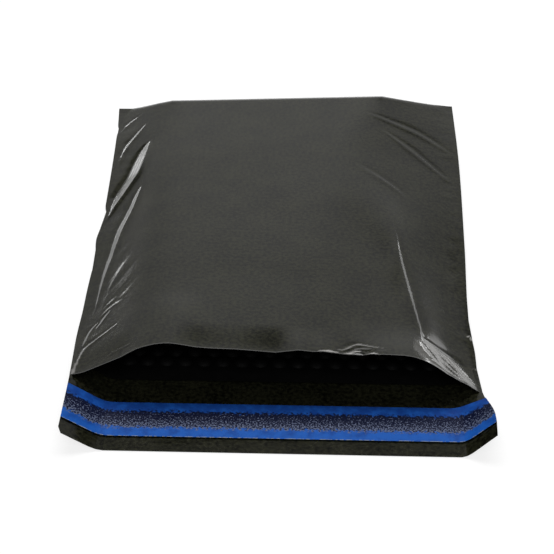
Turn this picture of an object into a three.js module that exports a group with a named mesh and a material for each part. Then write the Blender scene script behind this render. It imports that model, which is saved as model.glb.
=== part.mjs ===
// A bubble security envelope of black film, lying on a table with its mouth propped open.
// Millimetres, +Z up. X runs across the envelope, the fold is at +Y, the mouth and its flap are at -Y.
// The origin is on the table, under the middle of the whole sheet.
import * as THREE from "three";

const { clamp, lerp, smoothstep } = THREE.MathUtils;

// Sizes of the envelope laid flat
const ENVELOPE_WIDTH = 250;
const BODY_LENGTH = 345;
const FLAP_LENGTH = 50;
const WELD_WIDTH = 5;
const FILM_THICKNESS = 0.1;

// The bubble lining stops short of the welds, the fold and the lip
const LINING_THICKNESS = 3.5;
const LINING_TO_WELD = 5;
const LINING_TO_FOLD = 3;
const LINING_TO_LIP = 12;
const LINING_HEM = 6;

// The closing strip on the flap: a band of adhesive along the middle of a wider peel-off liner. It lies a
// little nearer the mouth than the middle of the flap.
const STRIP_WIDTH = 30;
const STRIP_OFFSET = 1.5;
const ADHESIVE_WIDTH = 15;
const ADHESIVE_THICKNESS = 0.15;
const LINER_THICKNESS = 0.1;

// Air left between pieces that lie on each other
const PIECE_GAP = 0.3;
const LINING_GAP = 0.45;

// Most of the height inside the envelope that the air over the lining, and the lining itself, may take
const LINING_GAP_SHARE = 0.2;
const LINING_SHARE = 0.35;

// Height of the flat top of the padding at its four corners
const FOLD_CROWN_LEFT = 9.5;
const FOLD_CROWN_RIGHT = 15;
const MOUTH_CROWN_LEFT = 35.5;
const MOUTH_CROWN_RIGHT = 30;

// Distance from the film's edge to where that flat top begins
const FOLD_SHOULDER_LEFT = 35;
const FOLD_SHOULDER_RIGHT = 48;
const MOUTH_SHOULDER_LEFT = 50;
const MOUTH_SHOULDER_RIGHT = 38;

// Roundness of the fold, width of the bend where the lower film lifts to a weld, how far the weld's level
// margin runs on past the mouth, and how far the mouth end is laid off square
const FOLD_ROUND = 8;
const LEFT_BEND_WIDTH = 20;
const RIGHT_BEND_WIDTH = 14;
const LEVEL_RUN_OUT = 8;
const MOUTH_SKEW = 4;

// Share of each climb or bend that is rounded off
const CLIMB_SOFTNESS = 0.6;
const BEND_SOFTNESS = 0.35;

// The most that each side edge is drawn in from the flat width, and its greatest height over the table
const LEFT_DRAW_IN = 6;
const LEFT_LIFT = 13.5;
const RIGHT_DRAW_IN = 11.5;
const RIGHT_LIFT = 16;

// The share of that draw-in and lift at stations from the fold to the end of the flap
const LEFT_EDGE = edgeLine(LEFT_DRAW_IN, LEFT_LIFT, [
  { along: 0, drawn: 0.25, lifted: 0.04 },
  { along: 0.1 * BODY_LENGTH, drawn: 0.6, lifted: 0.15 },
  { along: 0.25 * BODY_LENGTH, drawn: 0.85, lifted: 0.22 },
  { along: 0.55 * BODY_LENGTH, drawn: 1, lifted: 0.3 },
  { along: 0.85 * BODY_LENGTH, drawn: 0.75, lifted: 0.6 },
  { along: BODY_LENGTH, drawn: 1, lifted: 1 },
  { along: BODY_LENGTH + FLAP_LENGTH, drawn: 0.85, lifted: 0.96 },
]);
const RIGHT_EDGE = edgeLine(RIGHT_DRAW_IN, RIGHT_LIFT, [
  { along: 0, drawn: 0.09, lifted: 0.29 },
  { along: 0.25 * BODY_LENGTH, drawn: 0.22, lifted: 0.25 },
  { along: 0.55 * BODY_LENGTH, drawn: 0.61, lifted: 0.25 },
  { along: 0.82 * BODY_LENGTH, drawn: 1, lifted: 0.28 },
  { along: BODY_LENGTH, drawn: 0.83, lifted: 0.39 },
  { along: BODY_LENGTH + 0.6 * FLAP_LENGTH, drawn: 0.48, lifted: 0.89 },
  { along: BODY_LENGTH + FLAP_LENGTH, drawn: 0.56, lifted: 1 },
]);

// Creases and swellings of the upper film, each a ridge between two places: a share of the way from the
// film's edge to its middle, and a share of the way from the fold to the mouth. Height and spread are
// shares of the deepest and the widest ridge.
const CREASE_HEIGHT = 3;
const CREASE_SPREAD = 20;
const CREASES = [
  { from: left(0.04, 0.11), to: left(0.17, 0.037), height: 0.5, spread: 0.35 },
  { from: left(0.08, 0.25), to: left(0.14, 0.16), height: 0.5, spread: 0.35 },
  { from: left(0.05, 0.48), to: left(0.24, 0.19), height: 1, spread: 0.45 },
  { from: left(0.1, 0.8), to: left(0.22, 0.38), height: 1, spread: 0.45 },
  { from: left(0.06, 1), to: left(0.17, 0.82), height: 0.7, spread: 0.35 },
  { from: left(0.06, 1), to: left(0.24, 0.87), height: 0.7, spread: 0.35 },
  { from: left(0.49, 1.16), to: left(0.51, 0.84), height: 0.85, spread: 1 },
  { from: right(0.51, 0.105), to: right(0.05, 0.22), height: 0.7, spread: 0.4 },
  { from: right(0.46, 0.145), to: right(0.06, 0.37), height: 0.7, spread: 0.45 },
  { from: right(0.6, 0.31), to: right(0.34, 0.58), height: 0.5, spread: 0.4 },
  { from: right(0.46, 0.5), to: right(0.3, 1.02), height: 0.85, spread: 0.45 },
];

// Fineness of the surfaces
const UPPER_COLUMNS = 34;
const LINING_COLUMNS = 17;
const BEND_COLUMNS = 5;
const MIDDLE_COLUMNS = 6;
const BODY_ROWS = 40;
const LINING_ROWS = 22;
const STRIP_ROWS = 4;
const FOLD_STEPS = 3;
const CROWDING = 0.4;
const LEAST_COLUMN = 1;
const SLOPE_STEP = 0.05;

const FOLD_Y = (BODY_LENGTH + FLAP_LENGTH) / 2 + MOUTH_SKEW / 4;
const FLAP_END = BODY_LENGTH + FLAP_LENGTH;
const STRIP_MIDDLE = BODY_LENGTH + FLAP_LENGTH / 2 - STRIP_OFFSET;
const STRIP_FROM = STRIP_MIDDLE - STRIP_WIDTH / 2;
const STRIP_TO = STRIP_MIDDLE + STRIP_WIDTH / 2;

function left(inward, share) {
  return new THREE.Vector2(((inward - 1) * ENVELOPE_WIDTH) / 2, share * BODY_LENGTH);
}

function right(inward, share) {
  return new THREE.Vector2(((1 - inward) * ENVELOPE_WIDTH) / 2, share * BODY_LENGTH);
}

// A smooth line through stations, read as [drawn in, height] at a distance from the fold
function edgeLine(drawIn, lift, stations) {
  const places = stations.map((station) => station.along);
  const values = stations.flatMap((station) => [station.drawn * drawIn, station.lifted * lift]);
  return new THREE.CubicInterpolant(places, values, 2);
}

// Where the two film edges are at a distance from the fold
function edgesAt(along) {
  const [leftIn, leftHeight] = LEFT_EDGE.evaluate(along);
  const [rightIn, rightHeight] = RIGHT_EDGE.evaluate(along);
  return {
    leftX: leftIn - ENVELOPE_WIDTH / 2,
    leftHeight,
    rightX: ENVELOPE_WIDTH / 2 - rightIn,
    rightHeight,
  };
}

// A straight climb with softened ends
function climb(share) {
  const t = clamp(share, 0, 1);
  return lerp(t, smoothstep(t, 0, 1), CLIMB_SOFTNESS);
}

// A straight climb with a softened foot
function bend(share) {
  const t = clamp(share, 0, 1);
  const foot = BEND_SOFTNESS / 2;
  const raised = t < BEND_SOFTNESS ? (t * t) / (2 * BEND_SOFTNESS) : t - foot;
  return raised / (1 - foot);
}

function creaseHeight(crease, x, along) {
  const run = crease.to.clone().sub(crease.from);
  const place = new THREE.Vector2(x, along).sub(crease.from);
  const share = clamp(place.dot(run) / run.lengthSq(), 0, 1);
  const aside = place.addScaledVector(run, -share).length() / (crease.spread * CREASE_SPREAD);
  const taper = Math.sqrt(4 * share * (1 - share));
  return aside < 1 ? crease.height * CREASE_HEIGHT * taper * (1 - aside * aside) ** 2 : 0;
}

// Height of the padding's upper face with no crease in it
function paddingTop(x, along) {
  const { leftX, leftHeight, rightX, rightHeight } = edgesAt(along);
  const share = clamp(along / BODY_LENGTH, 0, 1);
  const leftShoulder = lerp(FOLD_SHOULDER_LEFT, MOUTH_SHOULDER_LEFT, share);
  const rightShoulder = lerp(FOLD_SHOULDER_RIGHT, MOUTH_SHOULDER_RIGHT, share);
  const flatFrom = leftX + leftShoulder;
  const flatTo = rightX - rightShoulder;
  const across = clamp((x - flatFrom) / (flatTo - flatFrom), 0, 1);
  const foldCrown = lerp(FOLD_CROWN_LEFT, FOLD_CROWN_RIGHT, across);
  const mouthCrown = lerp(MOUTH_CROWN_LEFT, MOUTH_CROWN_RIGHT, across);
  const weldHeight = lerp(leftHeight, rightHeight, clamp((x - leftX) / (rightX - leftX), 0, 1));
  const leftClimb = climb((x - leftX - WELD_WIDTH) / (leftShoulder - WELD_WIDTH));
  const rightClimb = climb((rightX - WELD_WIDTH - x) / (rightShoulder - WELD_WIDTH));
  return weldHeight + (lerp(foldCrown, mouthCrown, share) - weldHeight) * leftClimb * rightClimb;
}

// Height of the lower film's upper face, flat on the table and lifted along both sides. The lift ends level
// at the welds, and runs on to the very edge of the flap, which has no weld.
function paddingFloor(x, along) {
  const { leftX, leftHeight, rightX, rightHeight } = edgesAt(along);
  const level = WELD_WIDTH * (1 - smoothstep(along, BODY_LENGTH, BODY_LENGTH + LEVEL_RUN_OUT));
  const flat = WELD_WIDTH - level;
  const leftLift = bend(1 - (x - leftX - level) / (LEFT_BEND_WIDTH + flat));
  const rightLift = bend(1 - (rightX - level - x) / (RIGHT_BEND_WIDTH + flat));
  const lift = (leftHeight - FILM_THICKNESS) * leftLift + (rightHeight - FILM_THICKNESS) * rightLift;
  return FILM_THICKNESS + lift;
}

// Rounds a height into the fold, which runs half way between the two faces
function foldedIn(height, x, along) {
  if (along >= FOLD_ROUND) return height;
  const foldHeight = (paddingTop(x, 0) + paddingFloor(x, 0)) / 2;
  return lerp(foldHeight, height, Math.sqrt(1 - (1 - along / FOLD_ROUND) ** 2));
}

const smoothCeiling = (x, along) => foldedIn(paddingTop(x, along), x, along);
const floor = (x, along) => foldedIn(paddingFloor(x, along), x, along);

function ceiling(x, along) {
  const { leftX, rightX } = edgesAt(along);
  const fromEdge = Math.min(x - leftX, rightX - x) - WELD_WIDTH;
  const free = smoothstep(fromEdge, 0, WELD_WIDTH) * smoothstep(along, 0, 2 * FOLD_ROUND);
  const creased = CREASES.reduce((sum, crease) => sum + creaseHeight(crease, x, along), 0);
  return foldedIn(paddingTop(x, along) + free * creased, x, along);
}

function placed(x, along, height) {
  const skew = MOUTH_SKEW * (x / ENVELOPE_WIDTH) * smoothstep(along, 0, BODY_LENGTH);
  return new THREE.Vector3(x, FOLD_Y - along - skew, height);
}

// Upward normal of a height function
function normalAt(heightAt, x, along) {
  const acrossSlope = (heightAt(x + SLOPE_STEP, along) - heightAt(x - SLOPE_STEP, along)) / (2 * SLOPE_STEP);
  const before = Math.max(along - SLOPE_STEP, 0);
  const alongSlope = (heightAt(x, along + SLOPE_STEP) - heightAt(x, before)) / (along + SLOPE_STEP - before);
  return new THREE.Vector3(-acrossSlope, alongSlope, 1).normalize();
}

function evenSteps(from, to, count) {
  return Array.from({ length: count + 1 }, (_, i) => lerp(from, to, i / count));
}

// Rows of the adhesive and of the liner over it. The flap has the same rows, so that all three lie parallel.
const ADHESIVE_ALONGS = evenSteps(
  STRIP_MIDDLE - ADHESIVE_WIDTH / 2,
  STRIP_MIDDLE + ADHESIVE_WIDTH / 2,
  STRIP_ROWS,
);
const LINER_ALONGS = [STRIP_FROM, ...ADHESIVE_ALONGS, STRIP_TO];

// Columns of the upper half, as shares of the width between the welds, crowded towards both sides
function upperShares(count) {
  return evenSteps(0, 1, count).map(
    (share) => share - (CROWDING * Math.sin(2 * Math.PI * share)) / (2 * Math.PI),
  );
}

// Columns of the lower half: close together in the two bends, wide apart on the flat between them
function lowerShares() {
  const between = ENVELOPE_WIDTH - 2 * WELD_WIDTH;
  const leftEnd = LEFT_BEND_WIDTH / between;
  const rightEnd = 1 - RIGHT_BEND_WIDTH / between;
  return [
    ...evenSteps(0, leftEnd, BEND_COLUMNS).slice(0, -1),
    ...evenSteps(leftEnd, rightEnd, MIDDLE_COLUMNS),
    ...evenSteps(rightEnd, 1, BEND_COLUMNS).slice(1),
  ];
}

// Rows of places [x, along]: from one inset to the other, with the columns that lie further in
function placesOn(alongs, inset, shares) {
  const between = ENVELOPE_WIDTH - 2 * WELD_WIDTH;
  const further = shares.filter(
    (share) => WELD_WIDTH + between * Math.min(share, 1 - share) >= inset + LEAST_COLUMN,
  );
  return alongs.map((along) => {
    const { leftX, rightX } = edgesAt(along);
    const columns = further.map((share) => lerp(leftX + WELD_WIDTH, rightX - WELD_WIDTH, share));
    return [leftX + inset, ...columns, rightX - inset].map((x) => [x, along]);
  });
}

// Collects points and faces into one closed surface
class Skin {
  constructor() {
    this.coordinates = [];
    this.corners = [];
  }

  point(position) {
    return this.coordinates.push(position.x, position.y, position.z) / 3 - 1;
  }

  grid(rows) {
    return rows.map((row) => row.map((position) => this.point(position)));
  }

  triangle(a, b, c) {
    if (a !== b && b !== c && c !== a) this.corners.push(a, b, c);
  }

  heightOf(id) {
    return this.coordinates[3 * id + 2];
  }

  // Faces over a grid of ids, seen from above or, when turned, from below. Each quad is split along the
  // more level diagonal of the guide grid, so that the two faces of a thin sheet stay parallel.
  cover(ids, turned, guide = ids) {
    for (let i = 0; i + 1 < ids.length; i++) {
      for (let j = 0; j + 1 < ids[i].length; j++) {
        const quad = [ids[i][j], ids[i + 1][j], ids[i + 1][j + 1], ids[i][j + 1]];
        const [a, b, c, d] = [guide[i][j], guide[i + 1][j], guide[i + 1][j + 1], guide[i][j + 1]];
        const level = (p, q) => Math.abs(this.heightOf(p) - this.heightOf(q));
        this.quad(quad, turned, level(a, c) > level(b, d));
      }
    }
  }

  quad([a, b, c, d], turned, otherDiagonal) {
    const halves = otherDiagonal ? [[a, b, d], [b, c, d]] : [[a, b, c], [a, c, d]];
    halves.forEach(([p, q, r]) => (turned ? this.triangle(p, r, q) : this.triangle(p, q, r)));
  }

  // A strip between two lines of ids that run the same way and may have different counts
  strip(first, second) {
    let i = 0;
    let j = 0;
    while (i + 1 < first.length || j + 1 < second.length) {
      const firstNext = (i + 1) / (first.length - 1);
      const secondNext = (j + 1) / (second.length - 1);
      if (j + 1 >= second.length || (i + 1 < first.length && firstNext <= secondNext)) {
        this.triangle(first[i], second[j], first[i + 1]);
        i += 1;
      } else {
        this.triangle(first[i], second[j], second[j + 1]);
        j += 1;
      }
    }
  }

  geometry() {
    const made = new THREE.BufferGeometry();
    made.setAttribute("position", new THREE.Float32BufferAttribute(this.coordinates, 3));
    made.setIndex(this.corners);
    made.computeVertexNormals();
    return made;
  }
}

const columnOf = (grid, j) => grid.map((row) => row.at(j));
const inside = (row) => row.slice(1, -1);

// The film: one sheet, folded across at the far end and welded along both sides. The lower half runs on
// past the mouth as the flap.
function filmGeometry() {
  const skin = new Skin();
  const foldRows = evenSteps(0, Math.PI / 2, FOLD_STEPS).slice(1);
  const bodyAlongs = [
    0,
    FILM_THICKNESS,
    ...foldRows.map((angle) => FOLD_ROUND * (1 - Math.cos(angle))),
    ...evenSteps(FOLD_ROUND, BODY_LENGTH, BODY_ROWS).slice(1),
  ];
  const flapAlongs = [
    (BODY_LENGTH + STRIP_FROM) / 2,
    ...LINER_ALONGS,
    (STRIP_TO + FLAP_END) / 2,
    FLAP_END,
  ];

  // Both faces of one half: the face towards the inside, and the outer face a film's thickness away
  function half(heightAt, alongs, shares, outward) {
    const places = placesOn(alongs, 0, shares);
    const inner = places.map((row) => row.map(([x, along]) => placed(x, along, heightAt(x, along))));
    const outer = inner.map((row, i) =>
      row.map((position, j) => {
        const welded = i === 0 || j < 2 || j > row.length - 3;
        const normal = welded ? new THREE.Vector3(0, 0, 1) : normalAt(heightAt, ...places[i][j]);
        return position.clone().addScaledVector(normal, outward * FILM_THICKNESS);
      }),
    );
    return { inner: skin.grid(inner), outer: skin.grid(outer) };
  }

  const upper = half(ceiling, bodyAlongs, upperShares(UPPER_COLUMNS), 1);
  const lower = half(floor, [...bodyAlongs, ...flapAlongs], lowerShares(), -1);
  const mouth = bodyAlongs.length - 1;

  // The two halves share the points where they meet inside at the welds
  for (let i = 1; i <= mouth; i++) {
    upper.inner[i][1] = lower.inner[i][1];
    upper.inner[i].splice(-2, 1, lower.inner[i].at(-2));
  }

  skin.cover(upper.outer, false, upper.inner);
  skin.cover(lower.outer, true, lower.inner);
  skin.cover(upper.inner.slice(1).map(inside), true);
  skin.cover(lower.inner.slice(1, mouth + 1).map(inside), false);
  skin.cover(lower.inner.slice(mouth), false);

  // The fold, outside and inside
  skin.strip(lower.outer[0], upper.outer[0]);
  skin.strip(inside(upper.inner[1]), inside(lower.inner[1]));

  // The lip, the ends of the two welds beside it, and the flap's front edge
  skin.strip(inside(upper.outer[mouth]), inside(upper.inner[mouth]));
  const rim = lower.inner[mouth];
  const lip = upper.outer[mouth];
  skin.quad([lip[0], rim[0], rim[1], lip[1]], false, false);
  skin.quad([lip.at(-2), rim.at(-2), rim.at(-1), lip.at(-1)], false, false);
  skin.strip(lower.inner.at(-1), lower.outer.at(-1));

  // The two side edges
  for (const side of [0, -1]) {
    const weldTop = columnOf(upper.outer, side);
    const flapTop = columnOf(lower.inner.slice(mouth), side);
    const bottom = columnOf(lower.outer, side);
    closeSide(skin, weldTop, flapTop, bottom, side === 0);
  }
  return skin.geometry();
}

// The edge of the film down one side: two films thick along the weld, one film thick along the flap
function closeSide(skin, weldTop, flapTop, bottom, onLeft) {
  const close = (a, b, c) => (onLeft ? skin.triangle(a, b, c) : skin.triangle(a, c, b));
  const mouth = weldTop.length - 1;
  for (let i = 0; i < mouth; i++) {
    close(weldTop[i], bottom[i], weldTop[i + 1]);
    if (i + 1 < mouth) close(bottom[i], bottom[i + 1], weldTop[i + 1]);
  }
  close(bottom[mouth - 1], flapTop[0], weldTop[mouth]);
  close(bottom[mouth - 1], bottom[mouth], flapTop[0]);
  for (let i = 0; i + 1 < flapTop.length; i++) {
    close(flapTop[i], bottom[mouth + i], flapTop[i + 1]);
    close(bottom[mouth + i], bottom[mouth + i + 1], flapTop[i + 1]);
  }
}

// The bubble lining: a pad folded once and closed along both sides, thinned where the envelope flattens
function liningGeometry() {
  const skin = new Skin();
  const room = (x, along) => smoothCeiling(x, along) - floor(x, along);
  const gap = (x, along) => Math.min(LINING_GAP, LINING_GAP_SHARE * room(x, along));
  const thickness = (x, along) => Math.min(LINING_THICKNESS, LINING_SHARE * room(x, along) - gap(x, along));
  const outerTop = (x, along) => smoothCeiling(x, along) - gap(x, along);
  const outerFloor = (x, along) => floor(x, along) + gap(x, along);
  const innerTop = (x, along) => outerTop(x, along) - thickness(x, along);
  const innerFloor = (x, along) => outerFloor(x, along) + thickness(x, along);
  const lipAt = BODY_LENGTH - LINING_TO_LIP;

  function face(heightAt, hem, shares) {
    const alongs = evenSteps(LINING_TO_FOLD + hem, lipAt, LINING_ROWS);
    const places = placesOn(alongs, WELD_WIDTH + LINING_TO_WELD + hem, shares);
    return skin.grid(places.map((row) => row.map(([x, along]) => placed(x, along, heightAt(x, along)))));
  }

  const top = face(outerTop, 0, upperShares(LINING_COLUMNS));
  const base = face(outerFloor, 0, lowerShares());
  const roof = face(innerTop, LINING_HEM, upperShares(LINING_COLUMNS));
  const bed = face(innerFloor, LINING_HEM, lowerShares());
  skin.cover(top, false);
  skin.cover(base, true);
  skin.cover(roof, true);
  skin.cover(bed, false);

  // Outside and inside of the folded end and of both sides
  skin.strip(base[0], top[0]);
  skin.strip(roof[0], bed[0]);
  skin.strip(columnOf(top, 0), columnOf(base, 0));
  skin.strip(columnOf(base, -1), columnOf(top, -1));
  skin.strip(columnOf(bed, 0), columnOf(roof, 0));
  skin.strip(columnOf(roof, -1), columnOf(bed, -1));

  // The rim at the lip, round the mouth
  skin.strip(top.at(-1), roof.at(-1));
  skin.strip(bed.at(-1), base.at(-1));
  skin.quad([base.at(-1)[0], bed.at(-1)[0], roof.at(-1)[0], top.at(-1)[0]], false, false);
  skin.quad([bed.at(-1).at(-1), base.at(-1).at(-1), top.at(-1).at(-1), roof.at(-1).at(-1)], false, false);
  return skin.geometry();
}

// A strip of the given thickness across the whole flap, lying at a height over the flap's upper face
function flapStripGeometry(alongs, over, thickness) {
  const skin = new Skin();
  const places = placesOn(alongs, 0, lowerShares());
  const face = (lift) =>
    skin.grid(places.map((row) => row.map(([x, along]) => {
      const flap = placed(x, along, floor(x, along));
      return flap.addScaledVector(normalAt(floor, x, along), lift);
    })));
  const under = face(over);
  const upper = face(over + thickness);
  skin.cover(upper, false, under);
  skin.cover(under, true);
  skin.strip(under[0], upper[0]);
  skin.strip(upper.at(-1), under.at(-1));
  skin.strip(columnOf(upper, 0), columnOf(under, 0));
  skin.strip(columnOf(under, -1), columnOf(upper, -1));
  return skin.geometry();
}

function piece(name, geometry, color, roughness) {
  const material = new THREE.MeshStandardMaterial({ color, roughness, metalness: 0 });
  const mesh = new THREE.Mesh(geometry, material);
  mesh.name = name;
  return mesh;
}

const linerOver = PIECE_GAP + ADHESIVE_THICKNESS + PIECE_GAP;
const adhesive = flapStripGeometry(ADHESIVE_ALONGS, PIECE_GAP, ADHESIVE_THICKNESS);
const liner = flapStripGeometry(LINER_ALONGS, linerOver, LINER_THICKNESS);

const envelope = new THREE.Group();
envelope.name = "bubble_security_envelope";
envelope.add(
  piece("envelope_film", filmGeometry(), 0x2b2b29, 0.35),
  piece("bubble_lining", liningGeometry(), 0x161616, 0.5),
  piece("adhesive_band", adhesive, 0x1d2233, 0.6),
  piece("release_liner", liner, 0x2757a8, 0.3),
);

export default envelope;
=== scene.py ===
# %% [markdown]
# # A bubble security envelope
# The envelope lies on a table with its mouth propped open. It is one sheet of black film, folded once at
# the far end and welded along both sides, with a bubble lining inside and a blue strip on the flap. The CAD
# model is loaded first as a fixed frame. Every piece made here is set on it, in metres.

# %% The frame
import math

import bpy
import numpy as np
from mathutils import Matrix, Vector, noise
from mathutils.bvhtree import BVHTree


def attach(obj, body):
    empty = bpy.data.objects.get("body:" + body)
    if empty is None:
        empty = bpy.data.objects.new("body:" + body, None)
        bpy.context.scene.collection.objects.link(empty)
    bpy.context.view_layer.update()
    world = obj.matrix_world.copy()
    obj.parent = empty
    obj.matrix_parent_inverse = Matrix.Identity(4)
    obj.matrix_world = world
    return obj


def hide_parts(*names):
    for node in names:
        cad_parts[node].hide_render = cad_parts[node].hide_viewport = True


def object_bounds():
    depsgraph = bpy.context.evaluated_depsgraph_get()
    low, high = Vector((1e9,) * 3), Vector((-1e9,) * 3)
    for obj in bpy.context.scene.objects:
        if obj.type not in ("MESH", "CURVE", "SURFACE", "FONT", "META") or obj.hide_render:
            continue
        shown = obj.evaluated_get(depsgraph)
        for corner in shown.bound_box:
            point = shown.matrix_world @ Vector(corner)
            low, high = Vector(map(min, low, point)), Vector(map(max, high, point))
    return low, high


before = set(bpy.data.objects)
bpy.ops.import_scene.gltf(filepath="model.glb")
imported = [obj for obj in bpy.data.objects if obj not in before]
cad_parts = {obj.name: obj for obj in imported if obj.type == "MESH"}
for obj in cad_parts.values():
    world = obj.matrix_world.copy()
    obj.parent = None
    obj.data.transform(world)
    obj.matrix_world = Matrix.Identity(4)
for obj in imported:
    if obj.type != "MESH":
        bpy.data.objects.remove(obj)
cad_low, cad_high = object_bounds()
scene = bpy.context.scene
print("frame box", [round(v, 4) for v in cad_low], [round(v, 4) for v in cad_high])

# %% [markdown]
# ## Camera
# The photograph looks down at a little over a third of a right angle, from almost straight in front of the
# mouth. A wide lens close by would narrow the far end too much. A long lens from a metre away gives the
# same slight narrowing towards the fold.

# %% Camera
CAMERA_ELEVATION = math.radians(34)
CAMERA_AZIMUTH = math.radians(0.8)
CAMERA_DISTANCE = 1.0408
CAMERA_LENS = 106.96
CAMERA_SENSOR = 36
LOOK_AT = Vector((-0.0028, -0.024, 0))

backwards = Vector((
    math.sin(CAMERA_AZIMUTH) * math.cos(CAMERA_ELEVATION),
    -math.cos(CAMERA_AZIMUTH) * math.cos(CAMERA_ELEVATION),
    math.sin(CAMERA_ELEVATION),
))
bpy.ops.object.select_all(action="DESELECT")
bpy.ops.object.camera_add(location=LOOK_AT + CAMERA_DISTANCE * backwards)
camera = bpy.context.object
camera.rotation_euler = backwards.to_track_quat("Z", "Y").to_euler()
camera.data.lens = CAMERA_LENS
camera.data.sensor_width = CAMERA_SENSOR
scene.camera = camera
print("camera at", [round(v, 3) for v in camera.location])

# %% [markdown]
# ## Reading the frame
# A film has no shape of its own: it lies where the padding puts it. A cloth simulation would find such a
# shape, but with creases wherever they happen to fall. Here they have to lie where the photograph shows
# them. So each sheet below starts as a flat grid, its points are laid on the CAD solid by rays from above
# or from below, and it is then shaped by moving them. A tree of the solid's faces makes thousands of rays
# quick.

# %% Rays at the frame
WIDTH = 0.250
BODY = 0.345
FLAP = 0.050
MOUTH_SKEW = 0.004
FOLD_Y = cad_high.y
MM = 0.001
TO_MM = 1000
UP = Vector((0, 0, 1))
RAY_START = 1.0
BESIDE_ALL = 0.14
HALVINGS = 20


def tree_of(node_name):
    """A tree of the faces of one of the frame's solids."""
    return BVHTree.FromObject(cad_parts[node_name], bpy.context.evaluated_depsgraph_get())


def smooth(share):
    """0 up to a share of 0, 1 from a share of 1, and a soft climb between."""
    t = np.clip(share, 0, 1)
    return t * t * (3 - 2 * t)


def hump(place, middle, spread):
    """1 in the middle, falling off softly to both sides."""
    return np.exp(-(((place - middle) / spread) ** 2))


def y_at(x, along):
    """Where a point of the flat sheet comes to lie, counted from the fold towards the mouth."""
    return FOLD_Y - along - MOUTH_SKEW * (x / WIDTH) * float(smooth(along / BODY))


def height_at(tree, x, along, side):
    """Height of a solid's upper face (side 1) or underside (side -1), or None beside it."""
    start = Vector((x, y_at(x, along), side * RAY_START))
    hit = tree.ray_cast(start, -side * UP)[0]
    return None if hit is None else hit.z


def edge_at(tree, along, direction):
    """The x at which a ray begins to miss the solid, going left (-1) or right (1)."""
    inside, outside = 0.0, direction * BESIDE_ALL
    for _ in range(HALVINGS):
        middle = (inside + outside) / 2
        if height_at(tree, middle, along, -1) is None:
            outside = middle
        else:
            inside = middle
    return inside


film_tree = tree_of("envelope_film")
print("film edges at mid length", [round(edge_at(film_tree, BODY / 2, side), 4) for side in (-1, 1)])

# %% [markdown]
# ## A sheet from a grid
# A grid primitive is the flat sheet. Its own coordinates tell the column and the row of every vertex, so
# positions worked out in tables of rows and columns can be put back on it.

# %% Grid helpers
def flat_grid(name, columns, rows):
    """A flat sheet of so many faces each way, with each vertex's place in a table of rows and columns."""
    bpy.ops.object.select_all(action="DESELECT")
    bpy.ops.mesh.primitive_grid_add(x_subdivisions=columns, y_subdivisions=rows, size=1)
    sheet = bpy.context.object
    sheet.name = sheet.data.name = name
    flat = np.empty(3 * len(sheet.data.vertices))
    sheet.data.vertices.foreach_get("co", flat)
    shares = flat.reshape(-1, 3) + 0.5
    column = np.rint(shares[:, 0] * columns).astype(int)
    row = np.rint(shares[:, 1] * rows).astype(int)
    return sheet, row * (columns + 1) + column


def lay(sheet, index, table):
    """Moves the sheet's vertices to a table of positions."""
    places = table.reshape(-1, 3)[index]
    sheet.data.vertices.foreach_set("co", places.ravel())
    sheet.data.update()


def table_of(sheet, index, shape):
    """The sheet's vertices as a table of positions."""
    places = np.empty(3 * len(sheet.data.vertices))
    sheet.data.vertices.foreach_get("co", places)
    table = np.empty((len(index), 3))
    table[index] = places.reshape(-1, 3)
    return table.reshape(*shape, 3)


def set_flat_uv(sheet, index, across, along):
    """Writes the flat sheet's own coordinates, in metres, as its UV map."""
    flat = np.stack([across, along], axis=-1).reshape(-1, 2)[index]
    layer = sheet.data.uv_layers[0] if sheet.data.uv_layers else sheet.data.uv_layers.new(name="UVMap")
    corner = np.empty(len(sheet.data.loops), dtype=np.int32)
    sheet.data.loops.foreach_get("vertex_index", corner)
    layer.data.foreach_set("uv", flat[corner].ravel())


def table_values(table, rows, columns):
    """Values between the entries of a table, at fractional rows and columns."""
    i = np.clip(rows.astype(int), 0, table.shape[0] - 2)
    j = np.clip(columns.astype(int), 0, table.shape[1] - 2)
    a = np.clip(rows - i, 0, 1)[..., None]
    b = np.clip(columns - j, 0, 1)[..., None]
    near = table[i, j] * (1 - b) + table[i, j + 1] * b
    far = table[i + 1, j] * (1 - b) + table[i + 1, j + 1] * b
    return near * (1 - a) + far * a


# %% [markdown]
# ## The film
# The film is one sheet, 250 mm wide and 740 mm long: upper half, fold, lower half and flap. An even grid
# fine enough for its creases would be far too heavy. So rows stand closer together in the fold, at the far
# end and near the lip, and columns where the film creases most. Each crowd of columns has a place across
# the sheet, a spread, and how much denser the columns stand there.

# %% Rows and columns of the film
FILM_COLUMNS = 208
UPPER_ROWS = 190
LOWER_ROWS = 14
FLAP_ROWS = 12
FOLD_ROUND = 0.008
FOLD_ROWS = 6
CROWDS = [(-0.105, 0.016, 1.7), (0.077, 0.008, 2.2), (0.104, 0.012, 1.0)]
LIP_CROWD = 2.2
LIP_CROWD_FROM = 0.25
LIP_CROWD_REACH = 0.06
FOLD_CROWD = 1.0
FOLD_CROWD_FROM = 0.12
FOLD_CROWD_REACH = 0.06
FINE_STEPS = 2000


def column_density(x):
    return 1 + sum(extra * hump(x, middle, spread) for middle, spread, extra in CROWDS)


def row_density(along):
    near_lip = smooth((along - LIP_CROWD_FROM) / LIP_CROWD_REACH)
    near_fold = 1 - smooth((along - FOLD_CROWD_FROM) / FOLD_CROWD_REACH)
    return 1 + LIP_CROWD * near_lip + FOLD_CROWD * near_fold


def crowded(low, high, density, count):
    """Places from low to high, closer together where the density is greater."""
    fine = np.linspace(low, high, FINE_STEPS + 1)
    filled = np.cumsum(density(fine))
    return np.interp(np.linspace(filled[0], filled[-1], count + 1), filled, fine)


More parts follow.
